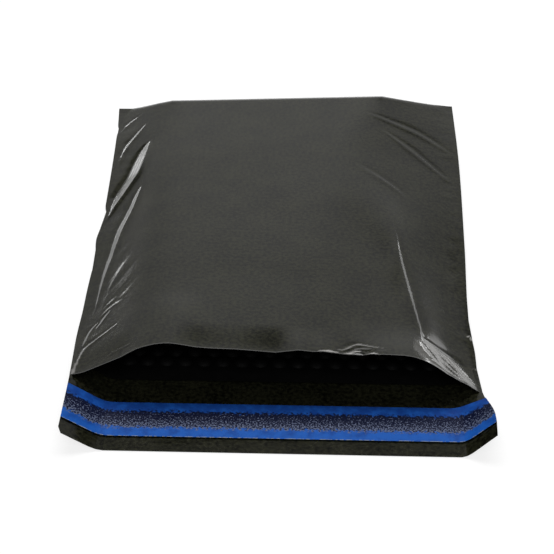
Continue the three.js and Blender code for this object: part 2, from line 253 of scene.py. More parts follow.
fold_alongs = FOLD_ROUND * (1 - np.cos(np.linspace(0, math.pi / 2, FOLD_ROWS + 1)))
upper_alongs = np.concatenate([
    fold_alongs,
    crowded(FOLD_ROUND, BODY, row_density, UPPER_ROWS)[1:],
])
lower_alongs = np.concatenate([
    fold_alongs[1:],
    np.linspace(FOLD_ROUND, BODY, LOWER_ROWS + 1)[1:],
    np.linspace(BODY, BODY + FLAP, FLAP_ROWS + 1)[1:],
])
film_alongs = np.concatenate([upper_alongs[::-1], lower_alongs])
film_sides = np.concatenate([np.ones(len(upper_alongs)), -np.ones(len(lower_alongs))])
film_shares = crowded(-WIDTH / 2, WIDTH / 2, column_density, FILM_COLUMNS) / WIDTH + 0.5
FILM_SHAPE = (len(film_alongs), FILM_COLUMNS + 1)
print("film grid", FILM_SHAPE)

# %% Lay the film on the frame
EDGE_MARGIN = 0.00002


def laid_table(tree, alongs, sides, shares):
    """Positions for rows of a sheet, from edge to edge of a solid, on its upper face or its underside."""
    table = np.empty((len(alongs), len(shares), 3))
    for i, (along, side) in enumerate(zip(alongs, sides)):
        # Past the lip a ray from above would fall on the flap
        last = BODY - EDGE_MARGIN if side > 0 and along <= BODY else along
        probe = min(max(along, EDGE_MARGIN), last)
        low = edge_at(tree, probe, -1) + EDGE_MARGIN
        high = edge_at(tree, probe, 1) - EDGE_MARGIN
        for j, share in enumerate(shares):
            x = low + (high - low) * share
            height = height_at(tree, x, probe, side)
            if height is None:
                height = table[i, j - 1, 2]
            table[i, j] = x, y_at(x, along), height
    return table


film, film_index = flat_grid("film", FILM_COLUMNS, FILM_SHAPE[0] - 1)
film_table = laid_table(film_tree, film_alongs, film_sides, film_shares)
lay(film, film_index, film_table)
across = np.broadcast_to(WIDTH * (film_shares - 0.5), FILM_SHAPE)
lengthways = np.where(film_sides > 0, BODY - film_alongs, BODY + film_alongs)
set_flat_uv(film, film_index, across, np.broadcast_to(lengthways[:, None], FILM_SHAPE))
print("film laid, heights to", round(float(film_table[..., 2].max()), 4))

# %% [markdown]
# Between each weld and the shoulder of the padded panel the film is pulled straight, like the wall of a
# tent. Each shoulder is a line from the fold to the mouth, in millimetres across and from the fold.

# %% Straighten the sides
WELD = 0.005
WALL_FOOT = WELD / 2
LEFT_SHOULDER = [(-84, 0), (-79, 25), (-78, 58), (-80, 121), (-81, 200), (-81, 277), (-77, 315), (-72, 345)]
RIGHT_SHOULDER = [
    (73, 0), (68, 15), (58, 45), (50, 85), (48, 123), (52, 150), (62, 172), (70, 190), (72, 205), (73, 232),
    (75.7, 263), (78.3, 287), (81, 309), (83, 325), (84.5, 345),
]


def shoulder_at(line, along):
    """The x of a shoulder at a distance from the fold, in metres."""
    points = np.array(line) / TO_MM
    return float(np.interp(along, points[:, 1], points[:, 0]))


def straightened(row, shoulder_x, weld_x):
    """Heights of one row of the film, with a straight climb from the weld to the shoulder."""
    foot, top = np.interp([weld_x, shoulder_x], row[:, 0], row[:, 2])
    share = (row[:, 0] - weld_x) / (shoulder_x - weld_x)
    return np.where((share > 0) & (share < 1), foot + (top - foot) * share, row[:, 2])


laid_heights = film_table[..., 2].copy()
for row, along in zip(film_table, upper_alongs[::-1]):
    walls = ((LEFT_SHOULDER, row[0, 0] + WALL_FOOT), (RIGHT_SHOULDER, row[-1, 0] - WALL_FOOT))
    for line, weld_x in walls:
        row[:, 2] = straightened(row, shoulder_at(line, along), weld_x)
moved = np.abs(film_table[..., 2] - laid_heights).max()
print(f"sides straightened by up to {TO_MM * moved:.1f} mm")

# %% [markdown]
# Behind the mouth the padding fills the right side less than the left, so the film sags along the right
# shoulder. At the far end nothing fills the two corners of the fold, and they droop.

# %% Let the right shoulder sag and the corners droop
SAG = 0.0048
SAG_FROM_X = 0.03
SAG_WELD_REACH = 0.014
SAG_STARTS, SAG_FULL, SAG_FADES, SAG_ENDS = 0.15, 0.22, 0.31, BODY
CORNER_DROPS = (0.0024, 0.001)
CORNER_REACH = 0.03
CORNER_LENGTH = 0.06
LOWEST = 0.0001

straight_heights = film_table[..., 2].copy()
for row, along in zip(film_table, upper_alongs[::-1]):
    depth = float(smooth((along - SAG_STARTS) / (SAG_FULL - SAG_STARTS)))
    depth *= min((SAG_ENDS - along) / (SAG_ENDS - SAG_FADES), 1)
    share_across = (row[:, 0] - SAG_FROM_X) / (shoulder_at(RIGHT_SHOULDER, along) - SAG_FROM_X)
    held_up = smooth((row[-1, 0] - row[:, 0]) / SAG_WELD_REACH)
    row[:, 2] -= SAG * depth * np.clip(share_across, 0, 1) * held_up
near_fold = (1 - smooth(film_alongs / CORNER_LENGTH))[:, None]
for column, drop in zip((0, -1), CORNER_DROPS):
    from_side = np.abs(film_table[..., 0] - film_table[:, [column], 0])
    dropped = film_table[..., 2] - drop * near_fold * np.clip(1 - from_side / CORNER_REACH, 0, 1)
    film_table[..., 2] = np.maximum(dropped, np.minimum(film_table[..., 2], LOWEST))
lay(film, film_index, film_table)
moved = np.abs(film_table[..., 2] - straight_heights).max()
print(f"film lowered by up to {TO_MM * moved:.1f} mm")

# %% [markdown]
# The solid has flat facets. Smoothing the heights, away from the edges, melts them into one soft surface.
# It also flattens the last rows before the lip, because nothing lies beyond them. So these rows go on with
# the slope that the film has a little further back, between two places given in metres behind the lip.

# %% Smooth the facets away
SMOOTHINGS = 100
SMOOTH_FROM = 1.2 * FOLD_ROUND
SMOOTH_MARGIN = 0.3 * WELD
LIP_STRETCH = (0.007, 0.013)


def select_points(sheet, index, chosen):
    """Selects the vertices for which a table of yes and no says yes."""
    bpy.ops.object.select_all(action="DESELECT")
    sheet.select_set(True)
    bpy.context.view_layer.objects.active = sheet
    bpy.ops.object.mode_set(mode="EDIT")
    bpy.ops.mesh.select_mode(type="VERT")
    bpy.ops.mesh.select_all(action="DESELECT")
    bpy.ops.object.mode_set(mode="OBJECT")
    sheet.data.vertices.foreach_set("select", chosen.reshape(-1)[index])
    bpy.ops.object.mode_set(mode="EDIT")


film_x = film_table[..., 0]
from_edge = np.minimum(film_x - film_x[:, :1], film_x[:, -1:] - film_x)
body_rows = (film_alongs > SMOOTH_FROM) & (film_alongs <= BODY)
inner = (from_edge > SMOOTH_MARGIN) & body_rows[:, None]
select_points(film, film_index, inner)
bpy.ops.mesh.vertices_smooth(factor=0.5, repeat=SMOOTHINGS, xaxis=False, yaxis=False, zaxis=True)
bpy.ops.object.mode_set(mode="OBJECT")
film_table = table_of(film, film_index, FILM_SHAPE)
near_row, far_row = (int(np.argmin(np.abs(upper_alongs[::-1] - BODY + back))) for back in LIP_STRETCH)
run = film_alongs[near_row] - film_alongs[far_row]
rise = (film_table[near_row, :, 2] - film_table[far_row, :, 2]) / run
for i in range(near_row):
    film_table[i, :, 2] = film_table[near_row, :, 2] + (film_alongs[i] - film_alongs[near_row]) * rise
print("smoothed", int(inner.sum()), "points")

# %% [markdown]
# ## Creases
# Film that bulges between two straight welds has length to spare along them, so it gathers into creases
# that run slantwise from the sides. They could be bump in the material, but then the exported mesh would be
# smooth. Each is a line on the panel instead, in millimetres across and from the fold. On one side of the
# line the film drops by a steep flat face, and on both sides of the face it eases back to the panel. Height
# and widths shrink towards the ends of the line, so the face keeps its slope and catches the light as one
# clean streak. Its peak is the share of the line at which it is widest, and it may fade in slowly. A broad
# face may have pleats: fine ripples that run with it.
#
# A face may also carry a painted highlight, paleness in the film's colour where it catches the light, which
# can reach past it by some millimetres. In the wedge behind the lip, narrow grooves paint it away again.

# %% Creases of the upper film
# Creases with a paleness value paint a highlight into the film's colour; the grooves paint it away.
GROOVE = {"drop": 0.9, "side": "left", "face": 1.6, "ease": 1.6, "highlight_paint": -1.2}
NICK = {"drop": 0.3, "side": "right", "face": 1.8, "ease": 2, "highlight_paint": 1.3}
LIP_GLINT = {"drop": 0.25, "side": "right", "ease": 1.5}
CREASES = [
    # Left side, from the fold to the mouth
    {"line": [(-102, 14), (-110.5, 23), (-118.5, 37), (-121, 45)],
     "drop": 0.7, "side": "left", "face": 1.6, "ease": 4},
    {"line": [(-99, 32), (-105, 51), (-111, 65), (-114.7, 84), (-115.5, 96)],
     "drop": 1.15, "side": "left", "face": 3, "ease": 5},
    {"line": [(-94.5, 66), (-96, 91), (-98.5, 113), (-102.5, 124), (-106.5, 136), (-112, 149), (-116.5, 160),
              (-119, 167), (-122, 176)],
     "drop": 3.4, "side": "left", "face": 9, "ease": 6, "peak": 0.4, "pleats": 4, "ripple": 0.11},
    {"line": [(-95, 133), (-97.5, 153), (-100, 170), (-102.6, 181), (-105.2, 202), (-108, 225), (-110, 245),
              (-111, 266), (-113, 290)],
     "drop": 1.4, "side": "left", "face": 4.2, "ease": 5, "peak": 0.32, "pleats": 2, "ripple": 0.06},
    {"line": [(-94, 207), (-102, 217), (-108, 224)],
     "drop": 0.2, "side": "left", "face": 2.5, "ease": 4},
    {"line": [(-91, 221), (-101, 240), (-105, 256), (-108, 284)],
     "drop": 0.3, "side": "left", "face": 3, "ease": 5},
    {"line": [(-95, 234), (-98, 240), (-101, 245), (-103.5, 252), (-104.5, 262), (-107, 271)],
     "drop": 0.3, "side": "left", "face": 2, "ease": 3},
    {"line": [(-94, 252), (-98, 257), (-102, 260), (-106, 268)],
     "drop": 0.25, "side": "left", "face": 2, "ease": 3},
    {"line": [(-92, 272), (-97, 273), (-102, 274.5), (-107, 281)],
     "drop": 0.35, "side": "left", "face": 1.8, "ease": 3},
    {"line": [(-90, 277.5), (-102, 281.5), (-108, 289.5)],
     "drop": 0.5, "side": "left", "face": 1.8, "ease": 3},
    {"line": [(-100, 284), (-102.5, 288), (-105.5, 296.5), (-109.5, 303)],
     "drop": 0.65, "side": "left", "face": 2, "ease": 3},
    {"line": [(-104, 289), (-106, 292), (-111.5, 299), (-113.7, 313), (-116, 331)],
     "drop": 0.7, "side": "left", "face": 2, "ease": 3},
    {"line": [(-93, 304), (-97, 308), (-103, 312.5), (-108, 316), (-112.5, 320), (-115, 329), (-117, 340)],
     "drop": 0.9, "side": "left", "face": 2.4, "ease": 4},
    # This crease carries a painted highlight along its face.
    {"line": [(-112, 319), (-114.6, 327), (-115.8, 336), (-116.8, 346), (-118, 360)],
     "drop": 0.5, "side": "left", "face": 2, "ease": 3, "highlight_paint": 0.7},
    {"line": [(-82, 335), (-86, 336), (-95, 336.5), (-99, 340)],
     "drop": 0.3, "side": "left", "face": 1.5, "ease": 3},
    {"line": [(-120, 211), (-116.5, 211.5), (-112, 214)],
     "drop": 0.6, "side": "right", "face": 1.2, "ease": 2},
    # Right side, from the fold to the mouth
    {"line": [(56, 31), (60, 34), (72, 41), (87, 48), (98.5, 56), (110, 66), (120, 75)],
     "drop": 0.76, "side": "right", "face": 4.5, "ease": 7},
    {"line": [(66, 52), (70, 56), (79, 67), (90, 81), (99, 94), (108, 105), (118, 116)],
     "drop": 0.8, "side": "right", "face": 4, "ease": 6},
    {"line": [(48, 109), (58, 121), (68, 131), (78, 141), (82, 150)],
     "drop": 0.66, "side": "right", "face": 4, "ease": 6},
    {"line": [(60, 160), (64, 170), (69.5, 182), (72, 197), (73, 229), (75.9, 259), (78.5, 283), (81.1, 305),
              (82.7, 320), (87, 334)],
     "drop": 1.3, "side": "right", "face": 2.4, "ease": 6, "peak": 0.6, "fade_in": 0.42},
    # The pleated wedge behind the right corner of the lip, with a painted highlight over its pleats
    {"line": [(81, 313), (88, 316), (95, 316), (101, 316), (105.5, 321), (108.5, 331), (112, 343)],
     "drop": -1.7, "side": "left", "face": 36, "ease": 5, "peak": 0.5, "pleats": 9, "ripple": 0.13,
     "highlight_paint": 0.55, "highlight_paint_past": 9},
    {"line": [(81.5, 318), (84.4, 324), (86.4, 328), (89, 333), (92, 340)], **GROOVE},
    {"line": [(89, 323), (93.7, 326.5), (97, 328), (100, 330), (103, 334), (106.5, 341)], **GROOVE},
    {"line": [(92, 332), (96, 335), (99.1, 337.3), (102, 339), (106, 343)], **GROOVE},
    # Nicks at the right weld, with painted glints
    {"line": [(110, 287), (112.3, 291), (115, 297)], **NICK},
    {"line": [(112, 321), (113.3, 326), (115.3, 332)], **NICK},
    # Crumpled part of the lip, with painted highlights on its creases and painted glints at its edge
    {"line": [(32, 342), (37.5, 340.5), (41, 337), (44.5, 334.5), (48, 335.5), (53, 337), (61, 338.5)],
     "drop": 0.45, "side": "right", "face": 1.5, "ease": 4, "peak": 0.4, "highlight_paint": 0.75},
    {"line": [(39, 343), (44, 339.5), (49, 339), (54, 341)],
     "drop": 0.4, "side": "right", "face": 1.5, "ease": 3, "highlight_paint": 0.35},
    {"line": [(21, 344.6), (28, 344.4), (35, 344.6)], **LIP_GLINT, "face": 1.7, "highlight_paint": 1.5},
    {"line": [(36.5, 344.8), (39.5, 344.6), (42.5, 344.8)], **LIP_GLINT, "face": 1.9, "highlight_paint": 1.6},
    {"line": [(39.5, 343.4), (43, 342.9), (47.5, 342.6)], **LIP_GLINT, "face": 1.5, "highlight_paint": 1.5},
    {"line": [(50, 344.8), (52.5, 344.6), (55.5, 344.8)], **LIP_GLINT, "face": 1.9, "highlight_paint": 1.6},
]
print("creases", len(CREASES))

# %% From a line to a crease
CORNER_CUTS = 2
CORNER_SHARE = 0.25
END_ROUNDNESS = 0.7
LEAST_WIDTH = 0.01
LEAST_FADE = 0.01
HIGHLIGHT_PAINT_EDGE = 0.2
HIGHLIGHT_PAINT_SMOOTH, HIGHLIGHT_PAINT_RIPPLED = 0.65, 0.35


def rounded(line):
    """A line with its corners cut off again and again, so that it bends softly."""
    points = np.array(line, dtype=float)
    for _ in range(CORNER_CUTS):
        early = (1 - CORNER_SHARE) * points[:-1] + CORNER_SHARE * points[1:]
        late = CORNER_SHARE * points[:-1] + (1 - CORNER_SHARE) * points[1:]
        points = np.concatenate([points[:1], np.stack([early, late], axis=1).reshape(-1, 2), points[-1:]])
    return points


def nearest_on(points, x, along):
    """For a table of places: distance from a line, on its right or left, and the share of it passed."""
    runs = np.diff(points, axis=0)
    lengths = np.linalg.norm(runs, axis=1)
    starts = np.concatenate([[0], np.cumsum(lengths)[:-1]])
    nearest = np.full(x.shape, np.inf)
    beside = np.zeros(x.shape)
    passed = np.zeros(x.shape)
    for point, run, length, start in zip(points, runs, lengths, starts):
        step = np.clip(((x - point[0]) * run[0] + (along - point[1]) * run[1]) / length**2, 0, 1)
        off_x = x - point[0] - step * run[0]
        off_along = along - point[1] - step * run[1]
        away = np.hypot(off_x, off_along)
        closer = away < nearest
        nearest = np.where(closer, away, nearest)
        beside = np.where(closer, off_x * run[1] - off_along * run[0], beside)
        passed = np.where(closer, (start + step * length) / lengths.sum(), passed)
    return np.where(beside < 0, -nearest, nearest), passed


def crease_heights(crease, x, along):
    """Heights of one crease over a table of places, in millimetres, and the painted highlight it puts on the
    film.
    """
    aside, passed = nearest_on(rounded(crease["line"]), x, along)
    towards_peak = math.log(0.5) / math.log(crease.get("peak", 0.5))
    swell = np.maximum(np.sin(math.pi * passed**towards_peak), 0) ** END_ROUNDNESS
    down = -aside if crease["side"] == "left" else aside
    face = np.maximum(crease["face"] * swell, LEAST_WIDTH)
    ease = np.maximum(crease["ease"] * swell, LEAST_WIDTH)
    on_face = np.clip(down / face, 0, 1)
    above = np.clip(1 + down / ease, 0, 1) ** 2
    below = np.clip(1 - (down - face) / ease, 0, 1) ** 2
    drop = np.where(down < 0, above, np.where(down > face, -below, 1 - 2 * on_face)) / 2
    drop = drop * smooth(passed / crease.get("fade_in", LEAST_FADE))
    ripple = np.sin(2 * math.pi * crease.get("pleats", 0) * on_face)
    rippled = crease.get("ripple", 0) * swell * ripple
    # Painted highlight: paleness in the film's colour over the face and some way past it, rippled with the
    # pleats.
    highlight_paint_width = face + crease.get("highlight_paint_past", 0)
    highlight_paint = smooth(down / (HIGHLIGHT_PAINT_EDGE * face)) * smooth((highlight_paint_width - down) / (HIGHLIGHT_PAINT_EDGE * face))
    highlight_paint = crease.get("highlight_paint", 0) * swell * highlight_paint
    return swell * (crease["drop"] * drop + rippled), highlight_paint * (HIGHLIGHT_PAINT_SMOOTH + HIGHLIGHT_PAINT_RIPPLED * swell * ripple)


print("points of the longest crease", max(len(rounded(crease["line"])) for crease in CREASES))

# %% Crease the upper film
HELD_AT_WELD = 0.4 * WELD
HELD_AT_FOLD_MM = 12

upper_count = len(upper_alongs)
x_mm = TO_MM * film_table[:upper_count, :, 0]
along_mm = np.broadcast_to(TO_MM * upper_alongs[::-1, None], x_mm.shape)
creased, painted_highlights = np.sum([crease_heights(crease, x_mm, along_mm) for crease in CREASES], axis=0)
free = smooth(from_edge[:upper_count] / HELD_AT_WELD) * smooth(along_mm / HELD_AT_FOLD_MM)
film_table[:upper_count, :, 2] += MM * free * creased
print(f"creased by {creased.min():.2f} to {creased.max():.2f} mm")

# %% [markdown]
# Three smaller things make the film less tidy: the lip waves a little, the panel is not quite flat, and the
# ends of the creases pull the welded edge in or let it out. Noise gives the panel its unevenness, most of
# it where the lip is crumpled and where the left side is drawn together. A few listed points give the
# rest.

# %% Waves of the lip, the panel and the edges
LIP_LIFT = [
    # Place across and lift, in millimetres
    (-122, 0), (-110, -1.0), (-89, -1.2), (-80, 0.2), (-62, 0), (-48, -1.0), (-25, -0.5), (-2, -1.4),
    (11, 1.0), (19, 0.4), (25, 0.8), (38, -0.4), (59, 0.9), (70, 0.8), (78, 0.2), (88, -0.6), (95, -0.8),
    (107, 1.0), (114, 0),
]
LIFT_REACH = 27
CRUMPLE_X, CRUMPLE_SPREAD = 47, 11
CRUMPLE_FROM, CRUMPLE_REACH = 335, 6
DRAWN_X, DRAWN_SPREAD = -97, 8
DRAWN_ALONG, DRAWN_LENGTH = 245, 32
DRAWN_SLANT = (0.85, 0.53)
WELD_WAVE_IN, WELD_WAVE_SPREAD = 9, 7
# Height of the lumps, their size across and along, in millimetres, and a seed
CRUMPLE_LUMPS = (0.8, 3, 4, 9)
DRAWN_LUMPS = (0.42, 3.2, 34, 2)
WELD_LUMPS = (0.15, 14, 8, 0)
PANEL_LUMPS = (0.25, 34, 60, 5)


def lumpy(x, along, lumps, where=1):
    """Heights of soft noise over a table of places, or over the part of it that where picks out."""
    height, size_x, size_along, seed = lumps
    return height * where * np.array([
        [noise.noise(Vector((a / size_x, b / size_along, seed))) for a, b in zip(row_x, row_along)]
        for row_x, row_along in zip(x, along)
    ])


lift_x, lift = np.array(LIP_LIFT, dtype=float).T
at_lip = smooth((along_mm - TO_MM * BODY + LIFT_REACH) / LIFT_REACH)
crumpled = hump(x_mm, CRUMPLE_X, CRUMPLE_SPREAD) * smooth((along_mm - CRUMPLE_FROM) / CRUMPLE_REACH)
drawn = hump(x_mm, DRAWN_X, DRAWN_SPREAD) * hump(along_mm, DRAWN_ALONG, DRAWN_LENGTH)
near_weld = hump(TO_MM * from_edge[:upper_count], WELD_WAVE_IN, WELD_WAVE_SPREAD)
slant_x = DRAWN_SLANT[0] * x_mm + DRAWN_SLANT[1] * along_mm
slant_along = DRAWN_SLANT[0] * along_mm - DRAWN_SLANT[1] * x_mm
waves = at_lip * np.interp(x_mm, lift_x, lift)
waves += lumpy(x_mm, along_mm, CRUMPLE_LUMPS, crumpled)
waves += lumpy(slant_x, slant_along, DRAWN_LUMPS, drawn)
waves += lumpy(x_mm, along_mm, WELD_LUMPS, near_weld)
waves += lumpy(x_mm, along_mm, PANEL_LUMPS)
film_table[:upper_count, :, 2] += MM * free * waves
print(f"waves of {waves.min():.1f} to {waves.max():.1f} mm")

# %% Keep the upper half above the lower one, and pull the edges
LEAST_GAP = 0.0001
EDGE_PULLS = [
    # Side, place from the fold, spread and inward pull, in millimetres
    (-1, 36, 5, 1.2), (-1, 157, 7, 1.8), (-1, 188, 14, -1.8), (-1, 217, 6, 0.6), (-1, 275, 20, 0.5),
    (1, 305, 16, -1.1), (1, 286, 4, 0.7),
]
PULL_REACH = 8

lower_counts = np.arange(len(lower_alongs) + 1)
rows_beneath = upper_count - 1 + np.interp(upper_alongs[::-1], np.append(0, lower_alongs), lower_counts)
beneath = table_values(
    film_table,
    np.broadcast_to(rows_beneath[:, None], x_mm.shape),
    np.broadcast_to(np.arange(FILM_COLUMNS + 1), x_mm.shape),
)
film_table[:upper_count, :, 2] = np.maximum(film_table[:upper_count, :, 2], beneath[..., 2] + LEAST_GAP)

all_along_mm = TO_MM * film_alongs[:, None]
pulled = np.zeros(FILM_SHAPE)
for side, place, spread, pull in EDGE_PULLS:
    from_side = TO_MM * np.abs(film_table[..., 0] - film_table[:, [0 if side < 0 else -1], 0])
    pulled -= side * pull * hump(all_along_mm, place, spread) * np.exp(-from_side / PULL_REACH)
film_table[..., 0] += MM * pulled
lay(film, film_index, film_table)
print(f"edges pulled by {pulled.min():.1f} to {pulled.max():.1f} mm")

# %% [markdown]
# The film gets its thickness towards the inside. An attribute carries the painted highlight of each point,
# for the material to read later.

# %% Finish the film
FILM_THICKNESS = 0.00012
SMOOTH_ANGLE = math.radians(50)


def thicken(sheet, thickness):
    """Gives a sheet its thickness below its face, and a smooth look up to its edges."""
    bpy.ops.object.select_all(action="DESELECT")
    sheet.select_set(True)
    bpy.context.view_layer.objects.active = sheet
    solid = sheet.modifiers.new("thickness", "SOLIDIFY")
    solid.thickness = thickness
    solid.offset = -1
    bpy.ops.object.modifier_apply(modifier=solid.name)
    bpy.ops.object.shade_smooth_by_angle(angle=SMOOTH_ANGLE)


# The creases' painted highlights go into an attribute, for the film's colour.
painted_highlight_table = np.zeros(FILM_SHAPE)
painted_highlight_table[:upper_count] = np.maximum(painted_highlights, 0)
painted_highlight_values = film.data.attributes.new("painted_highlight", "FLOAT", "POINT").data
painted_highlight_values.foreach_set("value", painted_highlight_table.reshape(-1)[film_index])
thicken(film, FILM_THICKNESS)
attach(film, "root")
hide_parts("envelope_film")
print("film", len(film.data.polygons), "faces")

# %% [markdown]
# ## The bubble lining
# Inside lies a sheet of bubble film, folded like the envelope and a little smaller. It is laid on its own
# solid like the film. The creased film has sunk here and there, so the lining gives way and stays a little
# under it.

# %% Sheet of the lining
LINING_COLUMNS = 44
LINING_ROWS = 90
LINING_END_ROWS = 4
LINING_FROM = 0.0032
LINING_TO = 0.3328
LINING_IN = 0.0009
LINING_IN_SHARE = 0.1
UNDER_FILM = 0.0018

lining_tree = tree_of("bubble_lining")
half_alongs = np.linspace(LINING_FROM, LINING_TO, LINING_ROWS + 1)
lining_shares = np.linspace(0, 1, LINING_COLUMNS + 1)
roof = laid_table(lining_tree, half_alongs, np.ones(len(half_alongs)), lining_shares)
bed = laid_table(lining_tree, half_alongs, -np.ones(len(half_alongs)), lining_shares)
roof_places = upper_count - 1 - np.interp(half_alongs, upper_alongs, np.arange(upper_count))
bed_places = upper_count + np.interp(half_alongs, lower_alongs, np.arange(len(lower_alongs)))
left_edges = np.interp(half_alongs, upper_alongs, film_table[upper_count - 1::-1, 0, 0])[:, None]
right_edges = np.interp(half_alongs, upper_alongs, film_table[upper_count - 1::-1, -1, 0])[:, None]
roof_shares = (roof[..., 0] - left_edges) / (right_edges - left_edges)
column_places = np.interp(roof_shares, film_shares, np.arange(FILM_COLUMNS + 1))
film_roof, film_bed = (
    table_values(film_table, np.broadcast_to(places[:, None], roof_shares.shape), column_places)[..., 2]
    for places in (roof_places, bed_places)
)
halfway = (film_roof + film_bed) / 2
roof[..., 2] = np.maximum(np.minimum(roof[..., 2], film_roof - UNDER_FILM), halfway)
bed[..., 2] = np.minimum(bed[..., 2], halfway)
room = np.maximum(roof[..., 2] - bed[..., 2], 0)
inset = np.minimum(LINING_IN, LINING_IN_SHARE * room)
roof[..., 2] -= inset
bed[..., 2] += inset
turns = np.linspace(0, 1, LINING_END_ROWS + 2)[1:-1, None, None]
turn = roof[:1] + (bed[:1] - roof[:1]) * turns
lining_table = np.concatenate([roof[::-1], turn, bed])
room_table = np.concatenate([room[::-1], np.repeat(room[:1], LINING_END_ROWS, axis=0), room])
LINING_SHAPE = lining_table.shape[:2]

lining, lining_index = flat_grid("bubble_sheet", LINING_COLUMNS, LINING_SHAPE[0] - 1)
lay(lining, lining_index, lining_table)
steps = np.linalg.norm(np.diff(lining_table[:, LINING_COLUMNS // 2], axis=0), axis=1)
lining_lengths = np.concatenate([[0], np.cumsum(steps)])
lining_width = float(np.ptp(lining_table[LINING_ROWS // 2, :, 0]))
lining_across = np.broadcast_to(lining_width * (lining_shares - 0.5), LINING_SHAPE)
set_flat_uv(lining, lining_index, lining_across, np.broadcast_to(lining_lengths[:, None], LINING_SHAPE))
print("lining", round(lining_width, 3), "by", round(float(lining_lengths[-1]), 3))

# %% [markdown]
# The bubbles are domes: half a ball, flattened, with its open side down. As bump they would vanish where
# one looks along the lining into the mouth, so they are modelled. One is made and copied to the next row,
# half a step aside. Two Array modifiers repeat the pair into a flat layer. Every point of that layer then
# goes to its place on the folded lining, and the domes are pressed flat where there is little room.

# %% Domes
PITCH = 0.0112
DOME_RADIUS = 0.0049
DOME_HEIGHT = 0.0026
DOME_MARGINS = 0.016
ROW_PITCH = PITCH * math.sqrt(3) / 2
domes_across = int((lining_width - DOME_MARGINS) / PITCH) - 1
domes_along = int((lining_lengths[-1] - DOME_MARGINS) / (2 * ROW_PITCH))

bpy.ops.object.select_all(action="DESELECT")
bpy.ops.mesh.primitive_uv_sphere_add(segments=10, ring_count=6, radius=1)
domes = bpy.context.object
domes.name = domes.data.name = "bubbles"
bpy.ops.object.mode_set(mode="EDIT")
bpy.ops.mesh.select_all(action="SELECT")
bpy.ops.mesh.bisect(plane_co=(0, 0, 0), plane_no=(0, 0, 1), clear_inner=True)
bpy.ops.mesh.select_all(action="SELECT")
bpy.ops.transform.resize(value=(DOME_RADIUS, DOME_RADIUS, DOME_HEIGHT), center_override=(0, 0, 0))
bpy.ops.mesh.duplicate()
bpy.ops.transform.translate(value=(PITCH / 2, ROW_PITCH, 0))
bpy.ops.object.mode_set(mode="OBJECT")
for count, offset in ((domes_across, (PITCH, 0, 0)), (domes_along, (0, 2 * ROW_PITCH, 0))):
    array = domes.modifiers.new("rows", "ARRAY")
    array.count = count
    array.use_relative_offset = False
    array.use_constant_offset = True
    array.constant_offset_displace = offset
    bpy.ops.object.modifier_apply(modifier=array.name)
print("domes", 2 * domes_across * domes_along, "with", len(domes.data.polygons), "faces")

# %% Fold the layer of domes
ROOM_FOR_DOMES = 0.3
FLATTEST_DOME = 0.05


def normals_of(table):
    """Directions square to a table of positions, towards the inside of the fold."""
    down = np.gradient(table, axis=0)
    right = np.gradient(table, axis=1)
    square = np.cross(down, right)
    square /= np.linalg.norm(square, axis=-1, keepdims=True)
    return -square if square[1, LINING_COLUMNS // 2, 2] > 0 else square


flat = np.empty(3 * len(domes.data.vertices))
domes.data.vertices.foreach_get("co", flat)
flat = flat.reshape(-1, 3)
flat[:, 0] -= (flat[:, 0].min() + flat[:, 0].max()) / 2
flat[:, 1] += (lining_lengths[-1] - flat[:, 1].min() - flat[:, 1].max()) / 2
dome_rows = np.interp(flat[:, 1], lining_lengths, np.arange(LINING_SHAPE[0]))
dome_columns = (flat[:, 0] / lining_width + 0.5) * LINING_COLUMNS
roominess = table_values(room_table[..., None], dome_rows, dome_columns)
heights = flat[:, 2:] * np.clip(ROOM_FOR_DOMES * roominess / DOME_HEIGHT, FLATTEST_DOME, 1)
folded = table_values(lining_table, dome_rows, dome_columns)
folded += heights * table_values(normals_of(lining_table), dome_rows, dome_columns)
domes.data.vertices.foreach_set("co", folded.ravel())
domes.data.update()
bpy.ops.object.shade_smooth()
print("layer of domes folded, lowest point", round(float(folded[:, 2].min()), 4))

# %% Finish the lining
LINING_THICKNESS = 0.0001

thicken(lining, LINING_THICKNESS)
for piece in (lining, domes):
    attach(piece, "root")
    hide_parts("bubble_lining")
print("lining", len(lining.data.polygons), "faces")

# %% [markdown]
# ## The closing strip
# A band of adhesive runs along the flap under a blue peel-off liner. They could be painted on the film, but
# the real liner comes off. So both are strips of their own, laid on the frame by the same function, with
# the bends that the solids have rounded off. Where the liner clings to the adhesive, along its middle, it
# is crinkled. Its two margins lie smooth.

# %% Adhesive band
STRIP_OFFSET = 0.0015
STRIP_MIDDLE = BODY + FLAP / 2 - STRIP_OFFSET
STRIP_MARGIN = 0.0002
STRIP_BEND = 0.003
ADHESIVE_WIDTH = 0.015
ADHESIVE_COLUMNS = 200
ADHESIVE_ROWS = 12
ADHESIVE_THICKNESS = 0.00015


def softened(heights, reach):
    """Heights with their bends rounded off along each row, over a number of columns."""
    steps = np.arange(-2 * reach, 2 * reach + 1)
    weights = np.exp(-((steps / reach) ** 2))
    padded = np.pad(heights, ((0, 0), (2 * reach, 2 * reach)), mode="reflect", reflect_type="odd")
    return np.array([np.convolve(row, weights / weights.sum(), mode="valid") for row in padded])


